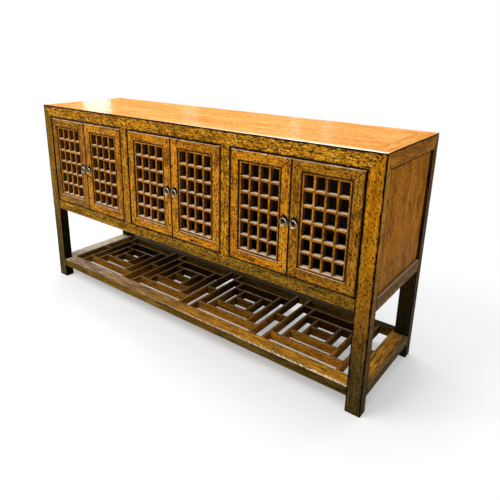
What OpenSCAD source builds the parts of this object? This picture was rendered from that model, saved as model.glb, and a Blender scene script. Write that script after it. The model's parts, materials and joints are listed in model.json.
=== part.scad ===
// Sideboard with six lattice doors, flush mitred corners and an open slatted shelf below.
// Origin: on the floor, in the middle of the case. +X runs to the right, the doors face -Y, +Z is up.

/* [Overall] */
// Length of the case along X
body_l = 1728; // [1560:4:1900]
// Depth of the case along Y
body_d = 472; // [430:2:520]
// Height of the top above the floor
body_h = 900; // [840:5:960]

/* [Legs and rails] */
// Leg width seen from the front
leg_w = 56; // [48:1:64]
// Leg width seen from the end
leg_d = 42; // [38:1:50]
// Height of the rails round the top
top_rail_h = 56; // [48:1:66]
// Height of the underside of the case above the floor
case_z = 382; // [340:2:430]
// Height of the rails round the bottom of the case
bottom_rail_h = 47; // [38:1:56]
// Thickness of the two end rails at the bottom of the case
end_rail_t = 40; // [34:1:46]

/* [Posts and panels] */
// Width of a post between two pairs of doors
post_w = 43; // [37:1:50]
// Depth of a post from front to back
post_t = 30; // [26:1:34]
// Thickness of the top board
top_t = 16; // [14:1:20]
// Thickness of the tongue round the top board
top_tongue_t = 6; // [5:1:8]
// Depth of the grooves that hold the top board and the panels
groove_d = 7; // [5:1:9]
// Thickness of the end panels
end_panel_t = 12; // [8:1:14]
// How far the end panels lie behind the legs' outer faces
end_panel_set = 10; // [6:1:14]
// Thickness of the back panels
back_panel_t = 10; // [8:1:12]
// How far the back panels lie in front of the back posts' outer faces
back_panel_set = 6; // [4:1:10]
// Thickness of the floor boards
floor_t = 14; // [12:1:18]
// Number of boards side by side in the floor
floor_boards_n = 3; // [2:1:4]
// Seam between pieces that are glued up into one frame, lattice or floor
seam = 0.12; // [0.05:0.01:0.3]
// Number of cross battens under the top, and under the floor
batten_n = 4; // [3:1:6]
// Width of a batten
batten_w = 34; // [26:1:42]
// Height of a batten
batten_h = 20; // [16:1:22]

/* [Doors] */
// Thickness of a door
door_t = 24; // [22:1:26]
// Gap round each door
door_gap = 3; // [1.8:0.1:4]
// Width of a door's upright frame members
stile_w = 37; // [34:1:42]
// Width of a door's level frame members
door_rail_w = 36; // [32:1:42]
// Rounding of the arris on the hinge side of a door
hinge_round = 4; // [3.6:0.2:5]
// Distance of the pivot from the door's hinge edge and from its face
pivot_in = 7; // [6.4:0.2:7.4]
// Diameter of the wooden pivots
pivot_dia = 8; // [6:0.5:9]
// Depth of a pivot in its socket
pivot_depth = 9; // [7:1:12]
// Radial clearance of a pivot in its socket
pivot_play = 0.08; // [0.04:0.01:0.1]
// Side of the square stop strips behind the doors
stop_side = 11; // [9:1:12]
// Play between a closed door and its stop strip
stop_play = 0.3; // [0.2:0.1:0.5]
// Distance of a stop strip's ends from the posts
stop_in = 20; // [14:1:40]

/* [Door lattice] */
// Openings side by side in a door
lattice_cols = 4; // [3:1:5]
// Openings one above another in a door
lattice_rows = 6; // [5:1:8]
// Width of the moulding round the lattice
border_w = 9.5; // [8:0.5:12]
// Thickness of the moulding
border_t = 21; // [16:1:22]
// How far the moulding lies behind the door's face
border_set = 1.5; // [1:0.5:3]
// Width of a lattice bar
bar_w = 8.5; // [7:0.5:10]
// Thickness of a lattice bar
bar_t = 21; // [12:1:21]
// How far the bars lie behind the moulding's face
bar_set = 1; // [0.5:0.5:2]

/* [Ring pulls] */
// Height of the eye's centre above the floor
pull_z = 636; // [610:2:660]
// Diameter of the round back plate
plate_dia = 30; // [26:1:34]
// Thickness of the back plate
plate_t = 1.4; // [1:0.1:2]
// How far the plate's centre lies below the eye
plate_drop = 4; // [2:0.5:6]
// Outer diameter of the ring
ring_dia = 30; // [26:1:34]
// Thickness of the ring's wire
wire_dia = 4; // [3.4:0.1:4.6]
// Width of the eye along the ring's pivot
eye_w = 4.4; // [3.6:0.2:5]
// Wall of the eye round its hole
eye_wall = 2.2; // [1.8:0.1:2.8]
// Radial play of the wire in the eye
eye_play = 0.45; // [0.35:0.05:0.6]
// Distance of the eye's hole from the plate
eye_out = 5.4; // [5:0.1:7]
// Diameter of the pin that holds the eye in the door
eye_pin_dia = 4; // [3:0.2:5]
// Radial play of that pin in the plate and in the door
eye_pin_play = 0.1; // [0.05:0.01:0.2]

/* [Shelf] */
// Height of the shelf's underside above the floor
shelf_z = 62; // [50:2:90]
// Height of the shelf's rails
shelf_rail_h = 36; // [32:1:44]
// Width of the front shelf rail seen from above
shelf_front_w = 63; // [56:1:70]
// Width of the back shelf rail seen from above
shelf_back_w = 35; // [30:1:40]
// Width of the end shelf rails seen from above
shelf_end_w = 66; // [60:1:76]
// Width of a slat seen from above
slat_w = 12; // [10:1:14]
// Height of a slat
slat_h = 34; // [22:1:35]
// Gap between two nested squares, and between a square and an end rail
unit_gap = 51; // [44:1:60]
// Gap between a square's slats, along the shelf
slat_gap_x = 43; // [38:1:46]
// Gap between a square's slats, from front to back
slat_gap_y = 50; // [42:1:52]

/* [Hidden] */
$fn = 64;

// Half sizes of the case, and of the space between its corner legs
half_l = body_l / 2;
half_d = body_d / 2;
inner_x = half_l - leg_w;
inner_y = half_d - leg_d;
// Levels of the rails
top_rail_z = body_h - top_rail_h;
bottom_rail_z = case_z + bottom_rail_h;
shelf_top_z = shelf_z + shelf_rail_h;
// Cuts and blanks run past the solids that they shape by this much
past = 1;

// Three equal door openings with a post between two of them
opening_w = (2 * inner_x - 2 * post_w) / 3;
opening_h = top_rail_z - bottom_rail_z;
post_x = opening_w / 2 + post_w / 2;
door_w = (opening_w - 3 * door_gap) / 2;
door_h = opening_h - 2 * door_gap;
door_z = bottom_rail_z + door_gap;
lattice_w = door_w - 2 * stile_w;
lattice_h = door_h - 2 * door_rail_w;
cell_w = (lattice_w - 2 * border_w - (lattice_cols - 1) * bar_w) / lattice_cols;
cell_h = (lattice_h - 2 * border_w - (lattice_rows - 1) * bar_w) / lattice_rows;

// Ring pulls: the ring's wire turns in the eye, in front of the middle of the meeting stile
ring_r = (ring_dia - wire_dia) / 2;
hole_r = wire_dia / 2 + eye_play;
eye_y = plate_t + eye_out;
pull_x = door_w - stile_w / 2;

// The space between the shelf's rails, which four squares and the links between them fill
unit_n = 4;
shelf_x = half_l - shelf_end_w;
shelf_front_y = -half_d + shelf_front_w;
shelf_back_y = half_d - shelf_back_w;
shelf_clear = shelf_back_y - shelf_front_y;
unit_l = (2 * shelf_x - (unit_n + 1) * unit_gap) / unit_n;

wood = "#b5761a";
wood_door = "#c07a22";
wood_dark = "#5a3a1c";
wood_top = "#e0984a";
iron = "#2d2a28";
silver = "#b9b2a0";

// A block given by its low and high corners
module block(low, high) {
    translate(low) cube(high - low);
}

// An outline in X and Z, drawn from front to back between two depths
module from_front(y0, y1, points) {
    translate([0, y1, 0]) rotate([90, 0, 0]) linear_extrude(y1 - y0) polygon(points);
}

// An outline in Y and Z, drawn along X between two places
module from_end(x0, x1, points) {
    translate([x0, 0, 0]) rotate([90, 0, 90]) linear_extrude(x1 - x0) polygon(points);
}

// An outline in X and Y, drawn upwards between two heights
module from_above(z0, z1, points) {
    translate([0, 0, z0]) linear_extrude(z1 - z0) polygon(points);
}

// Mirrors what is drawn at the right front corner to another corner
module corner(side_x, side_y) {
    mirror([side_x > 0 ? 0 : 1, 0, 0]) mirror([0, side_y > 0 ? 1 : 0, 0]) children();
}

// Grooves, for the top board's tongue and for the end and back panels
module top_tongue() {
    tongue_z = body_h - top_t + (top_t - top_tongue_t) / 2;
    block([-inner_x - groove_d, -inner_y - groove_d, tongue_z],
        [inner_x + groove_d, inner_y + groove_d, tongue_z + top_tongue_t]);
}

module end_panel(side) {
    outer = half_l - end_panel_set;
    mirror([side > 0 ? 0 : 1, 0, 0])
        block([outer - end_panel_t, -inner_y - groove_d, bottom_rail_z - groove_d],
            [outer, inner_y + groove_d, top_rail_z + groove_d]);
}

module back_panel(index) {
    left = -inner_x + index * (opening_w + post_w);
    outer = half_d - back_panel_set;
    block([left - groove_d, outer - back_panel_t, bottom_rail_z - groove_d],
        [left + opening_w + groove_d, outer, top_rail_z + groove_d]);
}

module all_grooves() {
    top_tongue();
    for (side = [-1, 1]) end_panel(side);
    for (index = [0:2]) back_panel(index);
}

// The two posts of one side, whose pointed ends fit the rails' notches
module post(side_x, y0) {
    peak = post_w / 2;
    translate([side_x * post_x, 0, 0])
        from_front(y0, y0 + post_t, [[-peak, bottom_rail_z], [0, bottom_rail_z - peak],
            [peak, bottom_rail_z], [peak, top_rail_z], [0, top_rail_z + peak], [-peak, top_rail_z]]);
}

module all_posts() {
    for (side = [-1, 1]) {
        post(side, -half_d);
        post(side, half_d - post_t);
    }
}

// Leg at the right front corner: its top is mitred to both rails
module leg() {
    difference() {
        intersection() {
            from_front(-half_d, -inner_y, [[inner_x, 0], [half_l, 0],
                [half_l, body_h], [inner_x, top_rail_z]]);
            from_end(inner_x, half_l, [[-half_d, 0], [-inner_y, 0],
                [-inner_y, top_rail_z], [-half_d, body_h]]);
        }
        for (side = [-1, 1]) end_panel(side);
    }
}

module leg_at(side_x, side_y) {
    color(wood) difference() {
        corner(side_x, side_y) leg();
        if (side_y > 0) for (index = [0:2]) back_panel(index);
    }
}

// Long rail of the top frame, mitred at both ends on its face and on its top
module top_long_rail(side_y) {
    color(wood) difference() {
        mirror([0, side_y > 0 ? 1 : 0, 0]) intersection() {
            from_front(-half_d, -inner_y, [[-inner_x, top_rail_z], [inner_x, top_rail_z],
                [half_l, body_h], [-half_l, body_h]]);
            from_above(top_rail_z, body_h, [[-half_l, -half_d], [half_l, -half_d],
                [inner_x, -inner_y], [-inner_x, -inner_y]]);
        }
        all_grooves();
        all_posts();
        if (side_y < 0) all_sockets();
    }
}

// End rail of the top frame
module top_end_rail(side_x) {
    color(wood) difference() {
        mirror([side_x > 0 ? 0 : 1, 0, 0]) intersection() {
            from_end(inner_x, half_l, [[-inner_y, top_rail_z], [inner_y, top_rail_z],
                [half_d, body_h], [-half_d, body_h]]);
            from_above(top_rail_z, body_h, [[half_l, -half_d], [half_l, half_d],
                [inner_x, inner_y], [inner_x, -inner_y]]);
        }
        all_grooves();
    }
}

module top_board() {
    color(wood_top) {
        block([-inner_x, -inner_y, body_h - top_t], [inner_x, inner_y, body_h]);
        top_tongue();
    }
}

// Cross battens below a board whose underside is at the given height
module battens(under) {
    step = 2 * inner_x / batten_n;
    for (i = [0:batten_n - 1])
        translate([-inner_x + (i + 0.5) * step, 0, 0])
            block([-batten_w / 2, -inner_y, under - batten_h], [batten_w / 2, inner_y, under]);
}

module top_battens() {
    color(wood_dark) battens(body_h - top_t);
}

module bottom_long_rail(side_y) {
    color(wood) difference() {
        mirror([0, side_y > 0 ? 1 : 0, 0])
            block([-inner_x, -half_d, case_z], [inner_x, -inner_y, bottom_rail_z]);
        all_grooves();
        all_posts();
        if (side_y < 0) all_sockets();
    }
}

module bottom_end_rail(side_x) {
    color(wood) difference() {
        mirror([side_x > 0 ? 0 : 1, 0, 0])
            block([half_l - end_rail_t, -inner_y, case_z], [half_l, inner_y, bottom_rail_z]);
        all_grooves();
    }
}

module door_post(side_x) {
    color(wood) post(side_x, -half_d);
}

module back_post(side_x) {
    color(wood_dark) difference() {
        post(side_x, half_d - post_t);
        for (index = [0:2]) back_panel(index);
    }
}

// The floor boards lie between the bottom rails, level with the rails' tops
module floor_boards() {
    reach = half_l - end_rail_t;
    board = 2 * inner_y / floor_boards_n;
    color(wood_dark) difference() {
        for (i = [0:floor_boards_n - 1])
            block([-reach, -inner_y + i * board + (i > 0 ? seam : 0), bottom_rail_z - floor_t],
                [reach, -inner_y + (i + 1) * board, bottom_rail_z]);
        for (side = [-1, 1]) end_panel(side);
    }
}

module floor_bearers() {
    color(wood_dark) battens(bottom_rail_z - floor_t);
}

module door_stops() {
    front = -half_d + door_t + stop_play;
    color(wood_dark) for (index = [-1:1])
        translate([index * (opening_w + post_w), 0, 0])
            block([-opening_w / 2 + stop_in, front, top_rail_z - stop_side],
                [opening_w / 2 - stop_in, front + stop_side, top_rail_z]);
}

// Puts a door, drawn from its hinge edge towards +X with its face at y = 0, in its place
module at_door(number) {
    pair_x = (floor((number - 1) / 2) - 1) * (opening_w + post_w);
    right_hand = number % 2 == 0;
    hinge_x = opening_w / 2 - door_gap;
    translate([pair_x + (right_hand ? hinge_x : -hinge_x), -half_d, door_z])
        mirror([right_hand ? 1 : 0, 0, 0]) children();
}

module pivots(radius, depth) {
    for (z = [-depth - door_gap, door_h])
        translate([pivot_in, pivot_in, z]) cylinder(r = radius, h = depth + door_gap);
}

module all_sockets() {
    for (number = [1:6])
        at_door(number) pivots(pivot_dia / 2 + pivot_play, pivot_depth + stop_play);
}

// Plan of a door, whose front arris is rounded at the hinge
module door_plan() {
    translate([hinge_round, 0]) square([door_w - hinge_round, door_t]);
    translate([0, hinge_round]) square([hinge_round, door_t - hinge_round]);
    intersection() {
        translate([hinge_round, hinge_round]) circle(r = hinge_round);
        square(hinge_round);
    }
}

// Four mitred members round an opening, the level ones shorter by a seam at each end
module mitred_frame(w, h, side, level, y0, y1) {
    for (z = [0, 1])
        translate([0, 0, z * h]) mirror([0, 0, z])
            from_front(y0, y1, [[seam, 0], [w - seam, 0], [w - side - seam, level], [side + seam, level]]);
    for (x = [0, 1])
        translate([x * w, 0, 0]) mirror([x, 0, 0])
            from_front(y0, y1, [[0, 0], [side, level], [side, h - level], [0, h]]);
}

module door_frame(number) {
    color(wood_door) at_door(number) difference() {
        union() {
            intersection() {
                mitred_frame(door_w, door_h, stile_w, door_rail_w, 0, door_t);
                linear_extrude(door_h) door_plan();
            }
            pivots(pivot_dia / 2, pivot_depth);
        }
        translate([pull_x, 0, pull_z - door_z]) eye_hole();
    }
}

// Moulding round the lattice, and bars that are halved where they cross
module door_lattice(number) {
    face = border_set + bar_set;
    half = face + bar_t / 2;
    back = face + bar_t;
    color(wood_door) at_door(number) translate([stile_w, 0, door_rail_w]) {
        mitred_frame(lattice_w, lattice_h, border_w, border_w, border_set, border_set + border_t);
        for (i = [1:lattice_cols - 1]) difference() {
            block([upright_x(i), face, border_w + seam],
                [upright_x(i) + bar_w, back, lattice_h - border_w - seam]);
            for (j = [1:lattice_rows - 1])
                block([upright_x(i) - past, half, level_z(j) - seam],
                    [upright_x(i) + bar_w + past, back + past, level_z(j) + bar_w + seam]);
        }
        for (j = [1:lattice_rows - 1]) difference() {
            block([border_w + seam, face, level_z(j)],
                [lattice_w - border_w - seam, back, level_z(j) + bar_w]);
            for (i = [1:lattice_cols - 1])
                block([upright_x(i) - seam, face - past, level_z(j) - past],
                    [upright_x(i) + bar_w + seam, half + seam, level_z(j) + bar_w + past]);
        }
    }
}

function upright_x(i) = border_w + i * cell_w + (i - 1) * bar_w;
function level_z(j) = border_w + j * cell_h + (j - 1) * bar_w;

// A round bar along Y
module round_y(radius, y0, y1) {
    translate([0, y1, 0]) rotate([90, 0, 0]) cylinder(r = radius, h = y1 - y0);
}

module eye_hole() {
    round_y(eye_pin_dia / 2 + eye_pin_play, -plate_t - past, door_t + past);
}

// Round back plate, and the eye on its pin through the stile
module door_pull(number) {
    color(iron) at_door(number) translate([pull_x, 0, pull_z - door_z]) {
        difference() {
            translate([0, 0, -plate_drop]) round_y(plate_dia / 2, -plate_t, 0);
            eye_hole();
        }
        difference() {
            union() {
                round_y(eye_pin_dia / 2, -eye_y, door_t);
                translate([-eye_w / 2, -eye_y, 0]) rotate([0, 90, 0])
                    cylinder(r = hole_r + eye_wall, h = eye_w);
            }
            translate([-eye_w / 2 - past, -eye_y, 0]) rotate([0, 90, 0])
                cylinder(r = hole_r, h = eye_w + 2 * past);
        }
    }
}

module pull_ring(number) {
    color(silver) at_door(number) translate([pull_x, -eye_y, pull_z - door_z - ring_r])
        rotate([90, 0, 0]) rotate_extrude() translate([ring_r, 0]) circle(d = wire_dia);
}

// Shelf frame: mitred round the opening, and cut out for the legs at its corners
module leg_feet() {
    for (side_x = [-1, 1], side_y = [-1, 1])
        corner(side_x, side_y) block([inner_x, -half_d - past, 0], [half_l + past, -inner_y, case_z]);
}

module shelf_rail(points) {
    color(wood) difference() {
        from_above(shelf_z, shelf_top_z, points);
        leg_feet();
    }
}

module shelf_end_rail(side_x) {
    mirror([side_x > 0 ? 0 : 1, 0, 0])
        shelf_rail([[half_l, -half_d], [half_l, half_d], [shelf_x, shelf_back_y], [shelf_x, shelf_front_y]]);
}

// A slat along X or Y, flush with the top of the rails
module slat(low, high) {
    block([low[0], low[1], shelf_top_z - slat_h], [high[0], high[1], shelf_top_z]);
}

// Nested squares of slats: each pair along Y stands between the pair along X outside it
module shelf_square(index) {
    left = -shelf_x + unit_gap + index * (unit_l + unit_gap);
    step_x = slat_w + slat_gap_x;
    step_y = slat_w + slat_gap_y;
    middle = (shelf_clear - slat_w) / 2;
    color(wood_dark) translate([left, shelf_front_y, 0]) {
        for (ring = [0:2]) for (x = [ring * step_x, unit_l - ring * step_x - slat_w])
            slat([x, ring * step_y + (ring > 0 ? seam : 0)],
                [x + slat_w, shelf_clear - ring * step_y - (ring > 0 ? seam : 0)]);
        for (ring = [1:2]) for (y = [ring * step_y - slat_w, shelf_clear - ring * step_y])
            cross_slat(ring - 1, y);
        cross_slat(2, middle);
    }
}

// A slat along X between the two slats along Y of one ring of a square
module cross_slat(ring, y) {
    end = ring * (slat_w + slat_gap_x) + slat_w + seam;
    slat([end, y], [unit_l - end, y + slat_w]);
}

module shelf_links() {
    middle = (shelf_clear - slat_w) / 2;
    color(wood_dark) for (i = [0:unit_n])
        translate([-shelf_x + i * (unit_l + unit_gap), shelf_front_y + middle, 0])
            slat([0, 0], [unit_gap, slat_w]);
}

leg_at(-1, -1);  // leg_front_left
leg_at(1, -1);  // leg_front_right
leg_at(-1, 1);  // leg_back_left
leg_at(1, 1);  // leg_back_right
top_long_rail(-1);  // top_rail_front
top_long_rail(1);  // top_rail_back
top_end_rail(-1);  // top_rail_left
top_end_rail(1);  // top_rail_right
top_board();
top_battens();
bottom_long_rail(-1);  // bottom_rail_front
bottom_long_rail(1);  // bottom_rail_back
bottom_end_rail(-1);  // bottom_rail_left
bottom_end_rail(1);  // bottom_rail_right
door_post(-1);  // door_post_left
door_post(1);  // door_post_right
back_post(-1);  // back_post_left
back_post(1);  // back_post_right
color(wood) end_panel(-1);  // side_panel_left
color(wood) end_panel(1);  // side_panel_right
color(wood_dark) back_panel(0);  // back_panel_left
color(wood_dark) back_panel(1);  // back_panel_middle
color(wood_dark) back_panel(2);  // back_panel_right
floor_boards();
floor_bearers();
door_stops();
shelf_rail([[-half_l, -half_d], [half_l, -half_d],  // shelf_rail_front
    [shelf_x, shelf_front_y], [-shelf_x, shelf_front_y]]);
shelf_rail([[-half_l, half_d], [half_l, half_d],  // shelf_rail_back
    [shelf_x, shelf_back_y], [-shelf_x, shelf_back_y]]);
shelf_end_rail(-1);  // shelf_rail_left
shelf_end_rail(1);  // shelf_rail_right
shelf_square(0);  // shelf_square_1
shelf_square(1);  // shelf_square_2
shelf_square(2);  // shelf_square_3
shelf_square(3);  // shelf_square_4
shelf_links();
door_frame(1);  // door_1_frame
door_lattice(1);  // door_1_lattice
door_pull(1);  // door_1_pull
pull_ring(1);  // ring_1
door_frame(2);  // door_2_frame
door_lattice(2);  // door_2_lattice
door_pull(2);  // door_2_pull
pull_ring(2);  // ring_2
door_frame(3);  // door_3_frame
door_lattice(3);  // door_3_lattice
door_pull(3);  // door_3_pull
pull_ring(3);  // ring_3
door_frame(4);  // door_4_frame
door_lattice(4);  // door_4_lattice
door_pull(4);  // door_4_pull
pull_ring(4);  // ring_4
door_frame(5);  // door_5_frame
door_lattice(5);  // door_5_lattice
door_pull(5);  // door_5_pull
pull_ring(5);  // ring_5
door_frame(6);  // door_6_frame
door_lattice(6);  // door_6_lattice
door_pull(6);  // door_6_pull
pull_ring(6);  // ring_6
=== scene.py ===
# Sideboard with lattice doors: worn ochre lacquer on elm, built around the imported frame
import bpy
import bmesh
import json
import math
import random
from mathutils import Matrix, Vector, noise


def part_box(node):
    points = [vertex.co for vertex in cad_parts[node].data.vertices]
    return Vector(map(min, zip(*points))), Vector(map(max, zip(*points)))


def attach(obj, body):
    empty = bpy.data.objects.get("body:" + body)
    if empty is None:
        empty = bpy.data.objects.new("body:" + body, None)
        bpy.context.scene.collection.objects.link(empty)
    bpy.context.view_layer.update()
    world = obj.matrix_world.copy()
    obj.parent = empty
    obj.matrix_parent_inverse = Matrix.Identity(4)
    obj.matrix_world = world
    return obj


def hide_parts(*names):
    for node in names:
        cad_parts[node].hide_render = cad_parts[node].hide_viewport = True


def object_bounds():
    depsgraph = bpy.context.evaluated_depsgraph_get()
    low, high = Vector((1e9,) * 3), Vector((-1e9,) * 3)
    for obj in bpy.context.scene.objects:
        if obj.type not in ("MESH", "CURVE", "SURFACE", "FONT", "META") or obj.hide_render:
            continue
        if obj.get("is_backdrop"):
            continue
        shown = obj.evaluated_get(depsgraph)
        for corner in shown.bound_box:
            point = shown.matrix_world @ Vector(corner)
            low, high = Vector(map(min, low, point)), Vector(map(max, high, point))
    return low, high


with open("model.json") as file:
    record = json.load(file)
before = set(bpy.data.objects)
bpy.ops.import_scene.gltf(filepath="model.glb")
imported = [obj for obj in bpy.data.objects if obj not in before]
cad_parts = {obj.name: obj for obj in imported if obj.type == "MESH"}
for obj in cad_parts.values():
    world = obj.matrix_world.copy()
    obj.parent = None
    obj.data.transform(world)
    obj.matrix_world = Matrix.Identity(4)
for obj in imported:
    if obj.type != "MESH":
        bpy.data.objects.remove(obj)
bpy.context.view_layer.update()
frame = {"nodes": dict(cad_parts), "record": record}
nodes = frame["nodes"]
mm = 0.001

# Camera: place and angles found from the photograph's corners, sizes in metres, degrees and pixels
cameraLook = {
    "place": (1.3508, -1.5554, 1.1785),
    "azimuth": 38.002,
    "elevation": 17.687,
    "roll": 0.726,
    "focalPx": 488.33,
    "centrePx": (234.06, 202.65),
    "imagePx": 500,
    "sensorMm": 36,
    "reach": 50,
}


def addCamera(look):
    data = bpy.data.cameras.new("camera")
    data.sensor_width = look["sensorMm"]
    data.lens = look["focalPx"] / look["imagePx"] * look["sensorMm"]
    half = look["imagePx"] / 2
    data.shift_x = (half - look["centrePx"][0]) / look["imagePx"]
    data.shift_y = (look["centrePx"][1] - half) / look["imagePx"]
    data.clip_end = look["reach"]
    azimuth, elevation, roll = (math.radians(look[key]) for key in ("azimuth", "elevation", "roll"))
    back = Vector((math.sin(azimuth) * math.cos(elevation), -math.cos(azimuth) * math.cos(elevation),
                   math.sin(elevation)))
    right = (-back).cross(Vector((0, 0, 1))).normalized()
    up = back.cross(right)
    rolledRight = math.cos(roll) * right + math.sin(roll) * up
    rolledUp = back.cross(rolledRight)
    turn = Matrix((rolledRight, rolledUp, back)).transposed()
    camera = bpy.data.objects.new("camera", data)
    camera.matrix_world = Matrix.Translation(look["place"]) @ turn.to_4x4()
    bpy.context.collection.objects.link(camera)
    bpy.context.scene.camera = camera


addCamera(cameraLook)
bpy.context.scene.view_settings.view_transform = "Standard"
print("camera set")


# Small tools
def toLinear(hexColour):
    channels = [int(hexColour[i:i + 2], 16) / 255 for i in (1, 3, 5)]
    return [c / 12.92 if c <= 0.04045 else ((c + 0.055) / 1.055) ** 2.4 for c in channels] + [1.0]


def addNode(tree, kind, settings=None, inputs=None):
    node = tree.nodes.new(kind)
    for name, value in (settings or {}).items():
        setattr(node, name, value)
    for key, value in (inputs or {}).items():
        if isinstance(value, bpy.types.NodeSocket):
            tree.links.new(value, node.inputs[key])
        else:
            node.inputs[key].default_value = value
    return node


# A chain of nodes, row by row: a name, a kind of node, its operation and its inputs, which may be the names of
# earlier rows. A row's other outputs are known by its name and their own, such as gapsX.
def addSteps(tree, known, rows):
    for name, kind, operation, *values in rows:
        node = addNode(tree, "ShaderNode" + kind, {"operation": operation} if operation else None,
                       {i: known[value] if isinstance(value, str) else value for i, value in enumerate(values)})
        known.update({name + output.name: output for output in node.outputs})
        known[name] = node.outputs[0]


def newMaterial(name):
    material = bpy.data.materials.new(name)
    material.use_nodes = True
    material.node_tree.nodes.clear()
    return material, material.node_tree


def newPiece(nodeName, mesh, body, materials):
    piece = bpy.data.objects.new(nodeName + "_worn", mesh)
    bpy.context.collection.objects.link(piece)
    marks = [face.material_index for face in mesh.polygons]  # clearing the slots would lose them
    mesh.materials.clear()
    for material in materials:
        mesh.materials.append(material)
    for face, mark in zip(mesh.polygons, marks):
        face.material_index = mark
    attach(piece, body)
    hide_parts(nodeName)


def boxOf(verts):
    low = Vector([min(vert.co[axis] for vert in verts) for axis in range(3)])
    high = Vector([max(vert.co[axis] for vert in verts) for axis in range(3)])
    return low, high


def finishMesh(bm, mesh, sharpAngle=None):
    for face in bm.faces:
        face.smooth = True
    bmesh.ops.triangulate(bm, faces=[face for face in bm.faces if len(face.verts) > 4])
    bm.to_mesh(mesh)
    bm.free()
    if sharpAngle:
        mesh.set_sharp_from_angle(angle=math.radians(sharpAngle))
    return mesh


def evaluatedMesh(worker):
    return bpy.data.meshes.new_from_object(worker.evaluated_get(bpy.context.evaluated_depsgraph_get()))


sweptSharp = 40  # degrees, for swept and turned pieces

# Worn wood, in millimetres: arrises rounded (fine where they aren't square), a strip of the reach along each,
# cuts a step apart, and dents of a depth and size. Edges and faces under the least sizes are left as they are.
boardLook = {
    "round": 1.6, "fine": 0.7, "segments": 3, "reach": 3.5, "step": 26, "dent": 0.9, "dentSize": 22,
    "leastEdge": 3, "leastAngle": 25, "leastFace": 30, "sharpAngle": 50,
}
crispLook = dict(boardLook, round=0.7, fine=0.5, dent=0.3)
thinLook = dict(boardLook, round=1.0, dent=0.4, reach=2.5, step=60)
topLook = dict(thinLook, round=0.3, fine=0.3, dent=0.0)
doorLook = dict(boardLook, round=1.9, fine=0.6, dent=0.6, reach=3, step=30)


def islandsOf(bm):
    seen, islands = set(), []
    for start in bm.verts:
        if start in seen:
            continue
        seen.add(start)
        island, queue = [], [start]
        while queue:
            vert = queue.pop()
            island.append(vert)
            for edge in vert.link_edges:
                other = edge.other_vert(vert)
                if other not in seen:
                    seen.add(other)
                    queue.append(other)
        islands.append(island)
    return islands


# Each board notes its own grain, half size and a random shift, with its length as the first axis
def noteBoard(verts, layers, low, high, dice):
    size = high - low
    order = sorted(range(3), key=lambda axis: -size[axis])
    middle = (low + high) / 2
    shift = Vector([dice.uniform(-3, 3) for axis in order])
    for vert in verts:
        vert[layers["grain"]] = Vector([vert.co[axis] - middle[axis] for axis in order])
        vert[layers["half"]] = Vector([size[axis] / 2 for axis in order])
        vert[layers["dice"]] = shift
    return order[0]


def roundArrises(mesh, look):
    bm = bmesh.new()
    bm.from_mesh(mesh)
    bmesh.ops.remove_doubles(bm, verts=bm.verts, dist=0.01 * mm)
    bmesh.ops.dissolve_limit(bm, angle_limit=math.radians(1), verts=bm.verts, edges=bm.edges)
    weight = bm.edges.layers.float.new("bevel_weight_edge")
    for edge in bm.edges:
        if (len(edge.link_faces) == 2 and edge.is_convex and edge.calc_length() > look["leastEdge"] * mm
                and edge.calc_face_angle() > math.radians(look["leastAngle"])):
            square = all(max(abs(c) for c in face.normal) > 0.999 for face in edge.link_faces)
            edge[weight] = 1 if square else look["fine"] / look["round"]
    bm.to_mesh(mesh)
    bm.free()
    worker = bpy.data.objects.new("worker", mesh)
    bpy.context.collection.objects.link(worker)
    bevel = worker.modifiers.new("arrises", "BEVEL")
    bevel.width, bevel.segments = look["round"] * mm, look["segments"]
    bevel.limit_method, bevel.use_clamp_overlap = "WEIGHT", False
    rounded = evaluatedMesh(worker)
    bpy.data.objects.remove(worker)
    bpy.data.meshes.remove(mesh)
    return rounded


def wornBoards(nodeName, look, seed):
    mesh = roundArrises(nodes[nodeName].data.copy(), look)
    mesh.name = nodeName + "_worn"
    bm = bmesh.new()
    bm.from_mesh(mesh)
    inner = set()
    for face in [face for face in bm.faces if face.calc_area() > look["leastFace"] * mm * mm]:
        reach = min(look["reach"] * mm, 0.8 * face.calc_area() / face.calc_perimeter())
        bmesh.ops.inset_individual(bm, faces=[face], thickness=reach, use_even_offset=True)
        inner.update(face.verts)
    worn = bm.verts.layers.float.new("worn")
    for vert in bm.verts:
        vert[worn] = 0 if vert in inner else 1
    layers = {key: bm.verts.layers.float_vector.new(key) for key in ("grain", "half", "dice")}
    mitre = bm.verts.layers.float.new("mitre")
    middle = sum((vert.co for vert in bm.verts), Vector()) / len(bm.verts)
    dice = random.Random(seed)
    for island in islandsOf(bm):
        low, high = boxOf(island)
        along = noteBoard(island, layers, low, high, dice)
        across = 2 - along
        outer = high[across] if (low + high)[across] / 2 > middle[across] else low[across]
        for vert in island:  # distance to the nearer mitre of a board in an upright frame
            end = min(vert.co[along] - low[along], high[along] - vert.co[along])
            vert[mitre] = abs(end - abs(vert.co[across] - outer)) if along != 1 else 1
        geometry = list(island) + list({e for v in island for e in v.link_edges})
        geometry += list({f for v in island for f in v.link_faces})
        pieces = int((high - low)[along] / (look["step"] * mm))
        normal = Vector([1 if axis == along else 0 for axis in range(3)])
        for cut in range(1, pieces):
            place = low + (high - low) * cut / pieces
            geometry = bmesh.ops.bisect_plane(bm, geom=geometry, plane_co=place, plane_no=normal,
                                              dist=0.002 * mm)["geom"]
    bm.normal_update()
    moves = []
    for vert in bm.verts:
        if vert[worn] > 0.9:  # a wide dent and a finer one on it, other ones for each seed
            place = vert.co / (look["dentSize"] * mm) + Vector((7.3 * seed, 0, 0))
            depth = max(0.0, noise.noise(place) + 0.5 * noise.noise(2.7 * place))
            moves.append((vert, -vert.normal * depth * look["dent"] * mm))
    for vert, move in moves:
        vert.co += move
    return finishMesh(bm, mesh, look["sharpAngle"])


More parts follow.
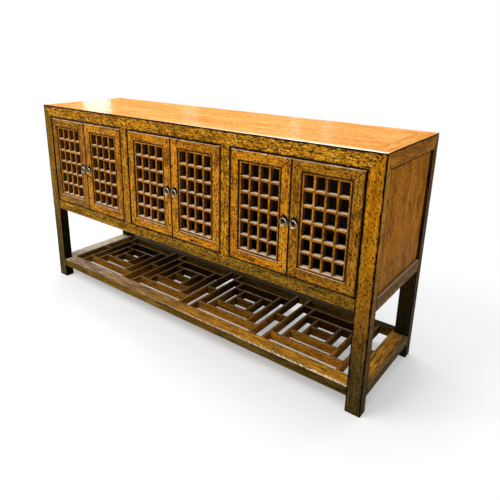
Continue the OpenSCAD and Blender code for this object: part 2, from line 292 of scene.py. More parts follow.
# Turned pieces: a profile of (distance from the axis, place along it) turned round the Y axis
def turnedMesh(name, profile, centre, steps):
    bm = bmesh.new()
    rings = []
    for step in range(steps):
        angle = 2 * math.pi * step / steps
        rings.append([bm.verts.new((centre[0] + radius * mm * math.sin(angle), centre[1] + depth * mm,
                                    centre[2] + radius * mm * math.cos(angle)))
                      for radius, depth in profile])
    for step in range(steps):
        here, there = rings[step], rings[(step + 1) % steps]
        for i in range(len(profile) - 1):
            bm.faces.new((here[i], here[i + 1], there[i + 1], there[i]))
    bmesh.ops.remove_doubles(bm, verts=bm.verts, dist=0.001 * mm)
    bmesh.ops.recalc_face_normals(bm, faces=bm.faces)
    return finishMesh(bm, bpy.data.meshes.new(name), sweptSharp)


def joinMeshes(name, meshes):
    bm = bmesh.new()
    for mesh in meshes:
        bm.from_mesh(mesh)
    joined = bpy.data.meshes.new(name)
    bm.to_mesh(joined)
    bm.free()
    for mesh in meshes:
        bpy.data.meshes.remove(mesh)
    return joined


# Patterns, in millimetres along and across the grain. The tone, blotches and curl are as wide as the real ones;
# brush streaks (really 2 mm), flecks (2 mm), pricks (1 mm) and cracks are drawn coarser, as they wouldn't show.
grainPatterns = {
    "tone": {"along": 420, "across": 36, "detail": 2, "turbulence": 0.6, "low": 0.34, "high": 0.66},
    "streak": {"along": 90, "across": 8, "detail": 4, "turbulence": 0.6, "low": 0.38, "high": 0.62},
    "curl": {"along": 34, "across": 6, "detail": 3, "turbulence": 0.8, "low": 0.4, "high": 0.6, "slant": 35},
    "fleck": {"along": 14, "across": 4, "detail": 3, "turbulence": 0.5, "low": 0.555, "high": 0.585},
    "speck": {"along": 9, "across": 6, "detail": 1, "turbulence": 0.0, "low": 0.6, "high": 0.625},
    "blotch": {"along": 110, "across": 42, "detail": 5, "turbulence": 0.8, "low": 0.5, "high": 0.64},
    "crack": {"along": 150, "across": 15, "detail": 3, "turbulence": 1.0, "low": 0.018, "high": 0.004,
              "ridge": True},
    "wander": {"along": 24, "across": 12, "detail": 3, "turbulence": 0.0, "low": 0.3, "high": 0.7},
}

# Masks from the place: what is measured (metres, or a share), where the mask begins and where it is full
placeMasks = {
    "dirt": ("recess", 0.8, 0.35),  # close corners: dirt that no cloth reaches, and painted shade where less light falls
    "pool": ("recess", 0.38, 0.62),  # ledges away from the corners
    "low": ("spotZ", 0.66, 0.08),
    "west": ("spotX", 0.25, -0.8),
    "east": ("spotX", -0.5, 0.85),
    "south": ("spotY", -0.19, -0.22),
    # towards the back, where painted shade from the case falls
    "deep": ("spotY", -0.17, 0.12),
    "fore": ("spotY", -0.223, -0.229),  # the front strip of the top and of the shelf's rail
    "brow": ("spotY", -0.205, -0.226),
    "verge": ("spotX", -0.76, -0.83),  # the left end of the shelf
    "outer": ("spotX", 0.838, 0.852),
    "lip": ("spotZ", 0.8374, 0.8392),  # the upper edges of the doors, painted pale as a highlight
    "ledge": ("facingZ", 0.45, 0.9),
    "tilt": ("facingZ", 0.25, 0.6),
    "aside": ("sideways", 0.5, 0.85),
    "rim": ("arrisGap", 0.003, 0.0015),
    "brim": ("brink", 0.004, 0.002),  # round the door openings: grime and painted shade along the door gaps
    "cheek": ("cheekGap", 0.004, 0.002),  # the inner sides of the legs, painted dark as their shade
    "corner": ("mitreGap", 0.0018, 0.0007),  # the mitres of the top frame
    "mitre": ("doorMitre", 0.0016, 0.0006),
    "knot": ("knotGapValue", 1.2, 0.8),
}
markPlaces = {
    "openingMiddle": 0.6365, "openingHalf": 0.2075,  # door openings, from 429 to 844 mm up
    "legInside": (0.808, 0.194, 0),
    "topCorner": (0.864, 0.236, 0.9),
    "endMitre": 56 / 42,  # a leg is 56 mm wide at the front and 42 mm at the end
    "knot": (0.108, 0, 0.4425), "knotShape": (100, 0, 220),  # one over its half sizes, 10 and 4.5 mm
}

# Each finish: four grain colours from dark to light, the shares of tone, streak and curl in them, then layers of
# (masks multiplied, colour, amount)
commonLook = {"shineTint": "#b58a3a", "coat": 0.0, "relief": 0.5}  # unless a finish says otherwise
finishes = {
    # Ochre lacquer over elm, brushed on and worn through: glossy yellow brown with black flecks and cracks
    "ochreLacquer": {
        "colours": ("#5a3608", "#a66c14", "#c8891e", "#e4ac3a"), "mix": (0.25, 0.25, 0.5),
        "layers": (("blotch", "#43270a", 0.45), ("fleck", "#150c02", 0.9), ("speck", "#0a0501", 0.9),
                   ("crack", "#0b0602", 0.9), ("dirt", "#0a0603", 0.9), ("arris", "#0e0804", 0.95),
                   ("corner", "#0a0503", 0.9), ("brim", "#0a0503", 0.95)),
        "arrisMm": 12, "gloss": 0.3, "matt": 0.5, "shine": 0.03, "shineTint": "#c98a2a",
    },
    # The same lacquer low on the case, where hands and floor dirt have dulled it to olive; its ledge is painted pale
    # as a sky reflection
    "oliveLacquer": {
        "colours": ("#42290a", "#8a6014", "#b08022", "#d09c38"), "mix": (0.3, 0.35, 0.35),
        "layers": (("blotch", "#2f220a", 0.4), ("fleck", "#120c03", 0.9), ("speck", "#0a0501", 0.9),
                   ("east", "#3a2c10", 0.5), ("crack", "#0b0602", 0.9), ("dirt", "#0a0603", 0.9),
                   ("arris", "#140d06", 0.85), ("ledge", "#f0c8ac", 0.95), ("brim", "#0a0503", 0.9)),
        "arrisMm": 5, "gloss": 0.32, "matt": 0.5, "shine": 0.015,
    },
    # The same lacquer on the legs, darker and duller towards the floor, black along the arrises
    "legLacquer": {
        "colours": ("#5e3405", "#b06a0a", "#d48a12", "#e6a628"), "mix": (0.3, 0.45, 0.25),
        "layers": (("blotch", "#3d2409", 0.35), ("low", "#434126", 0.9), ("streak", "#3a2608", 0.55),
                   ("low streak", "#1e190c", 0.65), ("fleck", "#140b01", 0.35), ("speck", "#0a0501", 0.9),
                   ("crack", "#0b0602", 0.4), ("dirt", "#0a0603", 0.9), ("corner", "#0a0503", 0.9),
                   ("arris", "#0c0704", 1.0), ("cheek", "#070503", 0.9)),
        "arrisMm": 9, "gloss": 0.34, "matt": 0.52, "shine": 0.01,
    },
    # Back legs: dark brown, the ochre hardly showing, darker low down
    "brownLacquer": {
        "colours": ("#241504", "#4c300c", "#684514", "#7f5620"), "mix": (0.3, 0.35, 0.35),
        "layers": (("low", "#2c2a1c", 0.85), ("fleck", "#120a03", 0.75), ("crack", "#0b0602", 0.85),
                   ("dirt", "#0a0603", 0.9), ("arris", "#0c0804", 0.9), ("cheek", "#140e08", 0.5)),
        "arrisMm": 6, "gloss": 0.36, "matt": 0.55, "shine": 0.01,
    },
    # Doors: a warmer, redder coat of the lacquer, less cracked, dark in the mitres, upward arrises rubbed pale and
    # painted pale as a highlight, most along the doors' upper edges
    "orangeLacquer": {
        "colours": ("#6a3c07", "#b8720f", "#d68a1a", "#f0a62e"), "mix": (0.35, 0.3, 0.35),
        "layers": (("blotch", "#4c2c08", 0.6), ("curl blotch", "#7a3a10", 0.5), ("curl tone", "#56480e", 0.4),
                   ("fleck", "#281503", 0.7), ("speck", "#0d0601", 0.9), ("crack", "#110802", 0.85),
                   ("dirt", "#0a0603", 0.95), ("arris", "#4a3220", 0.85), ("mitre", "#140a03", 0.85),
                   ("knot", "#0a0503", 1.0), ("rubbed", "#ead0b8", 0.9), ("lip wander", "#d8c4a4", 0.9)),
        "arrisMm": 5, "gloss": 0.3, "matt": 0.48, "shine": 0.04, "shineTint": "#d08a2c", "relief": 0.4,
    },
    # Lattice bars: the doors' coat, pale on every ledge away from the corners, partly dust dried on and partly a
    # painted sky reflection; their sideways faces painted darker as shade
    "dustAndSheenLacquer": {
        "colours": ("#522c05", "#965c0b", "#b67214", "#d49028"), "mix": (0.35, 0.3, 0.35),
        "layers": (("blotch", "#5a3408", 0.4), ("fleck", "#281503", 0.6), ("speck", "#100802", 0.6),
                   ("aside", "#4a3220", 0.9), ("dirt", "#140a03", 0.5), ("ledge pool", "#e8cfb2", 0.95)),
        "arrisMm": 3, "gloss": 0.34, "matt": 0.5, "shine": 0.04, "shineTint": "#d08a2c", "relief": 0.3,
    },
    # Top: many polished coats of honey lacquer, so the grain is faint and the room shows in it; a white highlight is
    # painted along its front edge, strongest towards the right end
    "honeyLacquer": {
        "colours": ("#b0641c", "#d28a3a", "#e2a256", "#f4c284"), "mix": (0.4, 0.35, 0.25),
        "layers": (("blotch", "#c87a2a", 0.55), ("curl", "#ecb068", 0.3), ("speck", "#8a5420", 0.35),
                   ("fore west", "#3a1e08", 0.6), ("fore east", "#fff6ea", 0.6),
                   ("fore east east", "#fff6ea", 1.0), ("brow east east east", "#fff6ea", 0.6)),
        "arrisMm": 4, "gloss": 0.16, "matt": 0.24, "shine": 0.0, "shineTint": "#ffffff",
        "coat": 0.05, "relief": 0.03,
    },
    # End panels: satin brown lacquer, rubbed smooth, with the board's upright grain just showing
    "satinLacquer": {
        "colours": ("#6e3c06", "#9a5e0c", "#ac6a10", "#bc781c"), "mix": (0.4, 0.35, 0.25),
        "layers": (("blotch", "#6a420e", 0.75), ("blotch tone", "#4a3210", 0.4), ("speck", "#2a1804", 0.6),
                   ("low", "#4e4834", 1.0), ("dirt", "#0a0603", 0.95)),
        "arrisMm": 4, "gloss": 0.34, "matt": 0.46, "shine": 0.004, "shineTint": "#c98a3a", "relief": 0.1,
    },
    # Shelf frame: faces dark with dirt; tops scuffed warm, painted lighter towards the lit right end, darker towards
    # the back and pale at the left end as a painted sky reflection; arrises rubbed pale, with painted white highlights
    # along the front at the right
    "scuffedAndLitLacquer": {
        "colours": ("#2a1e08", "#5c4412", "#7c5c1c", "#9a7830"), "mix": (0.3, 0.4, 0.3),
        "layers": (("east", "#2c2410", 0.6), ("ledge", "#c47e1a", 0.85), ("ledge tone", "#e8a844", 0.6),
                   ("ledge east", "#ffb02e", 0.75), ("ledge west", "#c4aa8c", 0.7),
                   ("ledge verge", "#f4e2c8", 0.85), ("ledge east deep", "#8a6840", 0.3),
                   ("ledge outer", "#6e5e40", 0.7), ("ledge streak", "#2e1a06", 0.75),
                   ("blotch", "#33240c", 0.4), ("ledge verge", "#f4dcc0", 0.6), ("fleck", "#1a0e02", 0.4),
                   ("crack", "#0b0602", 0.85), ("dirt", "#0a0603", 0.9), ("arris", "#1a1006", 0.6),
                   ("rubbed wander", "#e8cfa8", 0.35), ("rubbed east curl south", "#fff4e0", 2.0),
                   ("ledge fore east east east curl wander", "#ffeed4", 2.0)),
        "arrisMm": 4, "gloss": 0.26, "matt": 0.44, "shine": 0.01, "shineTint": "#c9a070",
    },
    # Slats: elm under brown stain with little shine; painted shade darkens them towards the back and the left, painted
    # light brightens them towards the right, and their tops carry a painted greyish sky reflection
    "darkStain": {
        "colours": ("#52300a", "#8a5814", "#aa701e", "#c4862c"), "mix": (0.4, 0.4, 0.2),
        "layers": (("east east", "#c07c22", 0.6), ("deep", "#0c0804", 0.92), ("west", "#140e08", 0.25),
                   ("ledge", "#8c6c44", 0.55), ("fleck", "#1c1006", 0.75), ("crack", "#0b0602", 0.7),
                   ("dirt", "#0a0603", 0.9)),
        "arrisMm": 3, "gloss": 0.34, "matt": 0.5, "shine": 0.008, "shineTint": "#b5875a", "relief": 0.3,
    },
    # Back and inside: bare elm, dark with age and smoke
    "bareElm": {
        "colours": ("#241c14", "#3c3022", "#50402c", "#5f4d36"), "mix": (0.4, 0.4, 0.2),
        "layers": (("fleck", "#141010", 0.5), ("crack", "#0c0a0a", 0.6), ("dirt", "#0a0808", 0.8)),
        "arrisMm": 3, "gloss": 0.6, "matt": 0.8, "shine": 0.1, "shineTint": "#a08060", "relief": 0.3,
    },
}


def addFinish(name, start, **changes):
    finishes[name] = dict(finishes[start], **changes)


def layersWithout(finish, *left):
    return tuple(layer for layer in finishes[finish]["layers"] if layer[0] not in left)


# The outer doors, a little duller than the others
addFinish("russetLacquer", "orangeLacquer", colours=("#523209", "#8e5c10", "#aa701a", "#c88c2c"))
# The floor and stops inside, painted black as the shade inside the case
addFinish("shadeBlackElm", "bareElm", colours=("#0e0c0d", "#181618", "#201d1e", "#282424"))
# The posts between the doors, the left one browner and the right one more golden
addFinish("postLacquer", "ochreLacquer", layers=layersWithout("ochreLacquer", "brim"), arrisMm=6,
          colours=("#4e2d06", "#945e0c", "#b87a14", "#d49c28"))
addFinish("goldLacquer", "postLacquer", colours=("#5e3706", "#ac700c", "#d29218", "#eeb634"))
# The back's rails and posts, brown like the back legs
addFinish("duskLacquer", "brownLacquer", layers=layersWithout("brownLacquer", "cheek"))
# The ends' bottom rails, with a greyish ledge painted as a sky reflection and an arris rubbed pale and painted as a
# highlight
addFinish("ledgeLacquer", "oliveLacquer", layers=layersWithout("oliveLacquer", "ledge", "brim")
          + (("ledge", "#8e7a58", 0.9), ("rubbed", "#d8ac94", 0.9)))
# The upper mouldings, without the pale ledge of dust and painted reflection
addFinish("plainLacquer", "dustAndSheenLacquer", layers=layersWithout("dustAndSheenLacquer", "ledge pool"))
# The shelf's back rail, dark all over and darkest on its top
addFinish("darkRailLacquer", "scuffedAndLitLacquer",
          layers=(("ledge", "#2a1d0e", 0.9), ("fleck", "#1a0e02", 0.4), ("crack", "#0b0602", 0.85),
                  ("dirt", "#0a0603", 0.9), ("arris", "#1a1006", 0.6)))
# The left front leg, duller and less orange than the right, and paler low down
addFinish("dullLacquer", "legLacquer", colours=("#583a0c", "#966a16", "#b68428", "#cc9c3e"),
          layers=(("blotch", "#3d2409", 0.45), ("low", "#655830", 0.9))
          + layersWithout("legLacquer", "blotch", "low"))
# The ends' top rails, between the satin panels and the ochre legs in colour
addFinish("umberLacquer", "satinLacquer", colours=("#6c420c", "#9a6018", "#b27420", "#c48a34"), arrisMm=9,
          layers=(("blotch", "#5c380c", 0.5), ("speck", "#2a1804", 0.6), ("crack", "#1a0e04", 0.7),
                  ("dirt", "#0a0603", 0.9), ("arris", "#0e0804", 0.9), ("corner", "#0a0503", 0.9),
                  ("brim", "#0a0503", 0.95)))

# What all wood shares: reach of the corner dirt and painted shade, depth of the bump, how rough the noise and the coat
# are, how far boards differ, how deep flecks and cracks lie, the colours' places, and how the black of an arris frays
woodLook = {
    "recessMm": 9, "bumpMm": 0.5, "noiseRough": 0.62, "coatRough": 0.23, "boardChance": 0.04,
    "fleckDepth": -0.5, "crackDepth": -1.2, "stops": (0.0, 0.35, 0.62, 1.0),
    "nearFrom": -0.4, "nearTo": 1.7, "frayBy": 1.1, "frayFrom": -0.6,
}


# The patterns of a board, read from its own grain and shift
def patternMasks(tree, known):
    for key, pattern in grainPatterns.items():
        along, across = 1000 / pattern["along"], 1000 / pattern["across"]
        slanted = addNode(tree, "ShaderNodeVectorRotate", {"rotation_type": "Z_AXIS"},
                          {"Vector": known["board"], "Angle": math.radians(pattern.get("slant", 0))}).outputs[0]
        place = addNode(tree, "ShaderNodeVectorMath", {"operation": "MULTIPLY"},
                        {0: slanted, 1: (along, across, across)}).outputs[0]
        known["cloud"] = addNode(tree, "ShaderNodeTexNoise", None,
                                 {"Vector": place, "Scale": 1.0, "Detail": pattern["detail"],
                                  "Roughness": woodLook["noiseRough"], "Distortion": pattern["turbulence"]}).outputs[0]
        if pattern.get("ridge"):  # thin lines where the cloud crosses its middle
            addSteps(tree, known, (("offset", "Math", "SUBTRACT", "cloud", 0.5),
                                   ("cloud", "Math", "ABSOLUTE", "offset")))
        known[key] = addNode(tree, "ShaderNodeMapRange", None,
                             {"Value": known["cloud"], "From Min": pattern["low"],
                              "From Max": pattern["high"]}).outputs[0]


def woodMaterial(name, look):
    material, tree = newMaterial(name)
    known = {key: addNode(tree, "ShaderNodeAttribute", {"attribute_name": key}).outputs["Vector"]
             for key in ("grain", "half", "dice")}
    known["doorMitre"] = addNode(tree, "ShaderNodeAttribute", {"attribute_name": "mitre"}).outputs["Fac"]
    known["recess"] = addNode(tree, "ShaderNodeAmbientOcclusion", {"samples": 4},
                              {"Distance": woodLook["recessMm"] * mm}).outputs["AO"]
    known["place"] = addNode(tree, "ShaderNodeTexCoord").outputs["Object"]
    known["normal"] = addNode(tree, "ShaderNodeNewGeometry").outputs["Normal"]
    addSteps(tree, known, (
        ("board", "VectorMath", "ADD", "grain", "dice"),
        # distance to the nearest arris: the second smallest of the distances to the board's faces
        ("inside", "VectorMath", "ABSOLUTE", "grain"),
        ("toFaces", "VectorMath", "SUBTRACT", "half", "inside"),
        ("gaps", "SeparateXYZ", None, "toFaces"),
        ("least", "Math", "MINIMUM", "gapsX", "gapsY"),
        ("most", "Math", "MAXIMUM", "gapsX", "gapsY"),
        ("other", "Math", "MINIMUM", "most", "gapsZ"),
        ("arrisGap", "Math", "MAXIMUM", "least", "other"),
        ("spot", "SeparateXYZ", None, "place"),
        ("facing", "SeparateXYZ", None, "normal"),
        ("sideways", "Math", "ABSOLUTE", "facingX"),
        # how far above or below the door openings
        ("fromMiddle", "Math", "SUBTRACT", "spotZ", markPlaces["openingMiddle"]),
        ("eitherWay", "Math", "ABSOLUTE", "fromMiddle"),
        ("brink", "Math", "SUBTRACT", "eitherWay", markPlaces["openingHalf"]),
        # how far out from the legs' inner faces
        ("mirrored", "VectorMath", "ABSOLUTE", "place"),
        ("pastLeg", "VectorMath", "SUBTRACT", "mirrored", markPlaces["legInside"]),
        ("leg", "SeparateXYZ", None, "pastLeg"),
        ("cheekGap", "Math", "MINIMUM", "legX", "legY"),
        # how far from the mitres of the top frame, on the front and on the ends
        ("fromCorner", "VectorMath", "SUBTRACT", markPlaces["topCorner"], "mirrored"),
        ("inset", "SeparateXYZ", None, "fromCorner"),
        ("frontSlope", "Math", "SUBTRACT", "insetX", "insetZ"),
        ("endRun", "Math", "MULTIPLY", "insetY", markPlaces["endMitre"]),
        ("endSlope", "Math", "SUBTRACT", "endRun", "insetZ"),
        ("frontGap", "Math", "ABSOLUTE", "frontSlope"),
        ("endGap", "Math", "ABSOLUTE", "endSlope"),
        ("mitreGap", "Math", "MINIMUM", "frontGap", "endGap"),
        ("fromKnot", "VectorMath", "SUBTRACT", "place", markPlaces["knot"]),
        ("knotSpot", "VectorMath", "MULTIPLY", "fromKnot", markPlaces["knotShape"]),
        ("knotGap", "VectorMath", "LENGTH", "knotSpot"),
    ))
    patternMasks(tree, known)
    for key, (measured, begins, full) in placeMasks.items():
        known[key] = addNode(tree, "ShaderNodeMapRange", {"interpolation_type": "SMOOTHSTEP"},
                             {"Value": known[measured], "From Min": begins, "From Max": full}).outputs[0]
    known["near"] = addNode(tree, "ShaderNodeMapRange", None,
                            {"Value": known["arrisGap"], "From Min": look["arrisMm"] * mm, "From Max": 0.0,
                             "To Min": woodLook["nearFrom"], "To Max": woodLook["nearTo"]}).outputs[0]
    addSteps(tree, known, (
        ("ragged", "Math", "MULTIPLY_ADD", "wander", woodLook["frayBy"], woodLook["frayFrom"]),
        # up-facing arrises, pale partly from rubbing and partly as a painted highlight
        ("rubbed", "Math", "MULTIPLY", "tilt", "rim"),
        # grain figure, each board a little lighter or darker than the next
        ("chance", "SeparateXYZ", None, "dice"),
        ("figure", "Math", "MULTIPLY", "chanceX", woodLook["boardChance"]),
        ("figure", "Math", "MULTIPLY_ADD", "tone", look["mix"][0], "figure"),
        ("figure", "Math", "MULTIPLY_ADD", "streak", look["mix"][1], "figure"),
        ("figure", "Math", "MULTIPLY_ADD", "curl", look["mix"][2], "figure"),
        # hollows for the bump
        ("hollow", "Math", "MULTIPLY_ADD", "fleck", woodLook["fleckDepth"], "streak"),
        ("hollow", "Math", "MULTIPLY_ADD", "crack", woodLook["crackDepth"], "hollow"),
    ))
    known["arris"] = addNode(tree, "ShaderNodeMath", {"operation": "ADD", "use_clamp": True},
                             {0: known["near"], 1: known["ragged"]}).outputs[0]
    ramp = addNode(tree, "ShaderNodeValToRGB", None, {0: known["figure"]})
    stops = ramp.color_ramp.elements
    for stop, colour, at in zip([stops[0], stops.new(0.4), stops.new(0.65), stops[-1]],
                                look["colours"], woodLook["stops"]):
        stop.position, stop.color = at, toLinear(colour)
    colour = ramp.outputs[0]
    for keys, tint, amount in look["layers"]:
        first, *others = keys.split()
        share = known[first]
        for key in others:
            share = addNode(tree, "ShaderNodeMath", {"operation": "MULTIPLY"}, {0: share, 1: known[key]}).outputs[0]
        share = addNode(tree, "ShaderNodeMath", {"operation": "MULTIPLY", "use_clamp": True},
                        {0: share, 1: amount}).outputs[0]
        colour = addNode(tree, "ShaderNodeMix", {"data_type": "RGBA"},
                         {0: share, 6: colour, 7: toLinear(tint)}).outputs[2]
    rough = addNode(tree, "ShaderNodeMapRange", None,
                    {"Value": known["streak"], "To Min": look["matt"], "To Max": look["gloss"]}).outputs[0]
    bump = addNode(tree, "ShaderNodeBump", None,
                   {"Strength": look["relief"], "Distance": woodLook["bumpMm"] * mm,
                    "Height": known["hollow"]}).outputs[0]
    shader = addNode(tree, "ShaderNodeBsdfPrincipled", None,
                     {"Base Color": colour, "Roughness": rough, "Normal": bump,
                      "Specular IOR Level": look["shine"], "Specular Tint": toLinear(look["shineTint"]),
                      "Coat Weight": look["coat"], "Coat Roughness": woodLook["coatRough"]}).outputs[0]
    addNode(tree, "ShaderNodeOutputMaterial", None, {0: shader})
    return material


woods = {name: woodMaterial(name, dict(commonLook, **look)) for name, look in finishes.items()}

# Metals: cast brass, gone nearly black on the plates and rubbed bright on the rings, with painted highlights there
# too.
# The patches of tarnish are as wide as the real ones, and the cast skin's grit is drawn as coarse as they are.
metalLooks = {
    "darkBrass": {"clean": "#2a2620", "tarnish": "#0c0b0b", "cover": (0.35, 0.6), "gloss": 0.32, "matt": 0.6,
                  "patchMm": 7, "patchShare": 0.8, "recessMm": 3, "relief": 0.3},
    "whiteBrass": {"clean": "#f0ead8", "tarnish": "#38342a", "cover": (0.4, 0.6), "gloss": 0.14, "matt": 0.36,
                   "patchMm": 6, "patchShare": 0.3, "recessMm": 3, "relief": 0.3},
}


def metalMaterial(name, look):
    material, tree = newMaterial(name)
    place = addNode(tree, "ShaderNodeTexCoord").outputs["Object"]
    cloud = addNode(tree, "ShaderNodeTexNoise", None,
                    {"Vector": place, "Scale": 1000 / look["patchMm"], "Detail": 4.0}).outputs[0]
    patches = addNode(tree, "ShaderNodeMapRange", None,
                      {"Value": cloud, "From Min": look["cover"][1], "From Max": look["cover"][0]}).outputs[0]
    recess = addNode(tree, "ShaderNodeAmbientOcclusion", {"samples": 4},
                     {"Distance": look["recessMm"] * mm}).outputs["AO"]
    rub = addNode(tree, "ShaderNodeAttribute", {"attribute_name": "rub"}).outputs["Fac"]
    clean = addNode(tree, "ShaderNodeMath", {"operation": "MULTIPLY_ADD", "use_clamp": True},
                    {0: patches, 1: look["patchShare"], 2: rub}).outputs[0]
    clean = addNode(tree, "ShaderNodeMath", {"operation": "MULTIPLY"}, {0: clean, 1: recess}).outputs[0]
    colour = addNode(tree, "ShaderNodeMix", {"data_type": "RGBA"},
                     {0: clean, 6: toLinear(look["tarnish"]), 7: toLinear(look["clean"])}).outputs[2]
    rough = addNode(tree, "ShaderNodeMapRange", None,
                    {"Value": clean, "To Min": look["matt"], "To Max": look["gloss"]}).outputs[0]
    bump = addNode(tree, "ShaderNodeBump", None,
                   {"Strength": look["relief"], "Distance": 0.3 * mm, "Height": cloud}).outputs[0]
    shader = addNode(tree, "ShaderNodeBsdfPrincipled", None,
                     {"Base Color": colour, "Roughness": rough, "Normal": bump, "Metallic": 1.0}).outputs[0]
    addNode(tree, "ShaderNodeOutputMaterial", None, {0: shader})
    return material


metals = {name: metalMaterial(name, look) for name, look in metalLooks.items()}
print("finishes mixed:", len(woods) + len(metals))

# Case: every board of the frame as its CAD node, worn. The first start that fits a node's name gives its finish,
# its slot and how it is worn.
caseFinish = {
    "leg_front_left": ("dullLacquer", "lacquered_elm_frame", boardLook),
    "leg_front_": ("legLacquer", "lacquered_elm_frame", boardLook),
    "leg_back_": ("brownLacquer", "lacquered_elm_frame", boardLook),
    "top_rail_left": ("umberLacquer", "lacquered_elm_frame", boardLook),
    "top_rail_right": ("umberLacquer", "lacquered_elm_frame", boardLook),
    "top_rail_back": ("duskLacquer", "lacquered_elm_frame", boardLook),
    "top_rail_": ("ochreLacquer", "lacquered_elm_frame", boardLook),
    "top_board": ("honeyLacquer", "lacquered_elm_top", topLook),
    "top_battens": ("bareElm", "plain_elm_inside", thinLook),
    "bottom_rail_front": ("oliveLacquer", "lacquered_elm_frame", crispLook),
    "bottom_rail_back": ("duskLacquer", "lacquered_elm_frame", boardLook),
    "bottom_rail_": ("ledgeLacquer", "lacquered_elm_frame", boardLook),
    "door_post_right": ("goldLacquer", "lacquered_elm_frame", boardLook),
    "door_post_": ("postLacquer", "lacquered_elm_frame", boardLook),
    "back_post_": ("duskLacquer", "lacquered_elm_frame", boardLook),
    "side_panel_": ("satinLacquer", "lacquered_elm_panel", thinLook),
    "back_panel_": ("bareElm", "plain_elm_inside", thinLook),
    "floor_": ("shadeBlackElm", "plain_elm_inside", thinLook),
    "door_stops": ("shadeBlackElm", "plain_elm_inside", thinLook),
    "shelf_rail_back": ("darkRailLacquer", "lacquered_elm_frame", crispLook),
    "shelf_rail_": ("scuffedAndLitLacquer", "lacquered_elm_frame", boardLook),
    "shelf_links": ("darkStain", "stained_elm_slats", thinLook),
}
# Level faces above this have the top's honey lacquer, and the end panels are bare on their inner faces
polishFromMm, levelFrom, innerFrom = 898.6, 0.97, -0.1

seedCount = 0
for nodeName in frame["record"]["behaviour"]["bodies"]["case"]:
    found = [finish for start, finish in caseFinish.items() if nodeName.startswith(start)]
    if not found:
        continue
    finish, slotName, look = found[0]
    seedCount += 1
    mesh = wornBoards(nodeName, look, seedCount)
    for face in mesh.polygons:
        face.material_index = int(face.center[2] > polishFromMm * mm and face.normal[2] > levelFrom)
        if finish == "satinLacquer" and face.normal[0] * face.center[0] < innerFrom:
            face.material_index = 2
    newPiece(nodeName, mesh, "case", [woods[finish], woods["honeyLacquer"], woods["bareElm"]])
print("case boards worn:", seedCount)

# Moulding mitred round each lattice
mouldingLook = {
    # distance in from the frame, depth behind the door's face: a quirk, then a bead, then the plain inner side
    "profile": ((0.1, 4.4), (3.4, 4.4), (3.6, 3.2), (4.1, 2.2), (4.9, 1.65), (5.8, 1.5), (6.8, 1.65), (7.9, 2.2),
                (8.9, 3.2), (9.4, 4.7), (9.5, 6.5), (9.5, 22.4), (0.1, 22.4)),
    "quirkFaces": 2, "seam": 0.08,
}


def mouldingMesh(low, high, face, look, dice):
    bm = bmesh.new()
    layers = {key: bm.verts.layers.float_vector.new(key) for key in ("grain", "half", "dice")}
    corners = [(low[0], low[2], 1, 1), (high[0], low[2], -1, 1), (high[0], high[2], -1, -1),
               (low[0], high[2], 1, -1)]
    for i in range(4):
        plain = int(i == 2)  # the upper strip, which has no pale ledge of dust and painted reflection
        ends = []
        for x, z, inX, inZ in (corners[i], corners[(i + 1) % 4]):
            toward = 1 if (x, z) == corners[i][:2] else -1
            nudge = look["seam"] * mm * toward * (1 if i < 2 else -1)
            nudgeX, nudgeZ = (nudge, 0) if i % 2 == 0 else (0, nudge)
            ends.append([bm.verts.new((x + inX * u * mm + nudgeX, face + v * mm, z + inZ * u * mm + nudgeZ))
                         for u, v in look["profile"]])
        count = len(look["profile"])
        for j in range(count):
            k = (j + 1) % count
            strip = bm.faces.new((ends[0][j], ends[1][j], ends[1][k], ends[0][k]))
            strip.material_index = 2 if j < look["quirkFaces"] else plain  # old dirt is packed in the quirk
        for end in ends:
            bm.faces.new(end).material_index = plain
        noteBoard(ends[0] + ends[1], layers, *boxOf(ends[0] + ends[1]), dice)
    bmesh.ops.recalc_face_normals(bm, faces=bm.faces)
    return finishMesh(bm, bpy.data.meshes.new("moulding"), sweptSharp)


# Geometry Nodes: bars with rounded arrises, set out in a row by rule
def treeWithInputs(name, sizes):
    tree = bpy.data.node_groups.new(name, "GeometryNodeTree")
    tree.interface.new_socket("Geometry", in_out="OUTPUT", socket_type="NodeSocketGeometry")
    for key, value in sizes.items():
        kind = "NodeSocketInt" if isinstance(value, int) else "NodeSocketFloat"
        tree.interface.new_socket(key, in_out="INPUT", socket_type=kind)
    tree.interface.new_socket("Material", in_out="INPUT", socket_type="NodeSocketMaterial")
    given = {output.name: output for output in tree.nodes.new("NodeGroupInput").outputs}
    return tree, given


def grownMesh(name, tree, sizes, material):
    worker = bpy.data.objects.new("worker", bpy.data.meshes.new("worker"))
    bpy.context.collection.objects.link(worker)
    modifier = worker.modifiers.new("grow", "NODES")
    modifier.node_group = tree
    for item in tree.interface.items_tree:
        if item.in_out == "INPUT":
            modifier[item.identifier] = material if item.name == "Material" else sizes[item.name]
    mesh = evaluatedMesh(worker)
    worker.modifiers.remove(modifier)
    bpy.data.objects.remove(worker)
    for face in mesh.polygons:
        face.material_index = 0
    mesh.name = name
    return mesh


